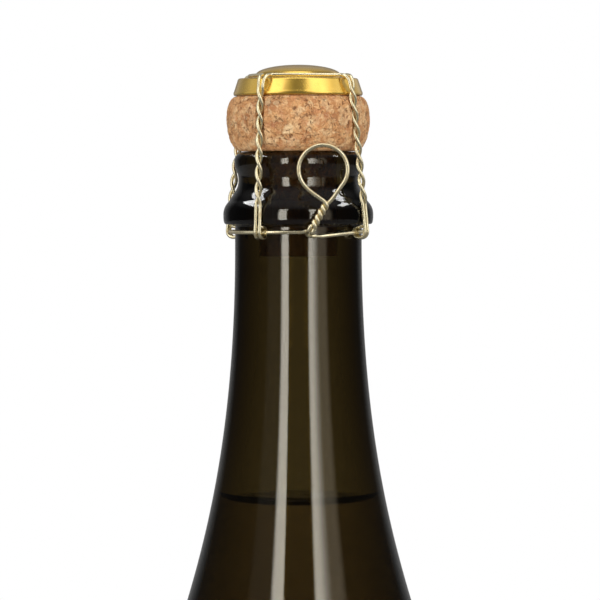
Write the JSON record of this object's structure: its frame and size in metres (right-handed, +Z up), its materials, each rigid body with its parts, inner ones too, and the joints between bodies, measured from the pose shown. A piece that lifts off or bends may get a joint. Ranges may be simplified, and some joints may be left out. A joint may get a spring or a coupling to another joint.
{
  "type": "sparkling wine bottle",
  "caption": "Corked sparkling wine bottle with wire cage, domed cap plaque and twist loop; the loop turns and folds, the cage lifts off and the cork pulls out.",
  "frame": {"origin": "centre of the foot ring, on the surface that the bottle stands on", "axes": "+Z up the bottle, -Y towards the side with the twist loop, +X to the right seen from there"},
  "size_m": [0.0886, 0.0884, 0.3197],
  "materials": {
    "glass": "gloss",
    "wine": "gloss",
    "cork": "matte",
    "natural_cork": "matte",
    "plaque": "gloss",
    "wire": "satin"
  },
  "bodies": {
    "bottle": {"glass_bottle": "glass", "wine": "wine"},
    "cork": {"cork_body": "cork", "cork_disc_upper": "natural_cork", "cork_disc_lower": "natural_cork"},
    "cage": {"cap_plaque": "plaque", "leg_front_left": "wire", "leg_front_right": "wire", "leg_back_right": "wire", "leg_back_left": "wire", "belt_wire": "wire"},
    "twist": {"twist_stub": "wire"},
    "loop": {"twist_loop": "wire"}
  },
  "joints": [
    {"name": "cork_pull", "type": "slide", "parent": "bottle", "child": "cork", "axis": [0, 0, 1], "range_m": [0, 0.06]},
    {"name": "cage_lift", "type": "slide", "parent": "cork", "child": "cage", "axis": [0, 0, 1], "range_m": [0, 0.045], "deforming": ["leg_front_left", "leg_front_right", "leg_back_right", "leg_back_left", "belt_wire"]},
    {"name": "loop_turn", "type": "hinge", "parent": "cage", "child": "twist", "pos_m": [0.0026, -0.0173, 0.28195], "axis": [0, -1, 0], "range_deg": [0, 1080]},
    {"name": "loop_fold", "type": "hinge", "parent": "twist", "child": "loop", "pos_m": [0.0026, -0.01826, 0.28195], "axis": [0.8387, 0, -0.5446], "range_deg": [0, 90]}
  ]
}
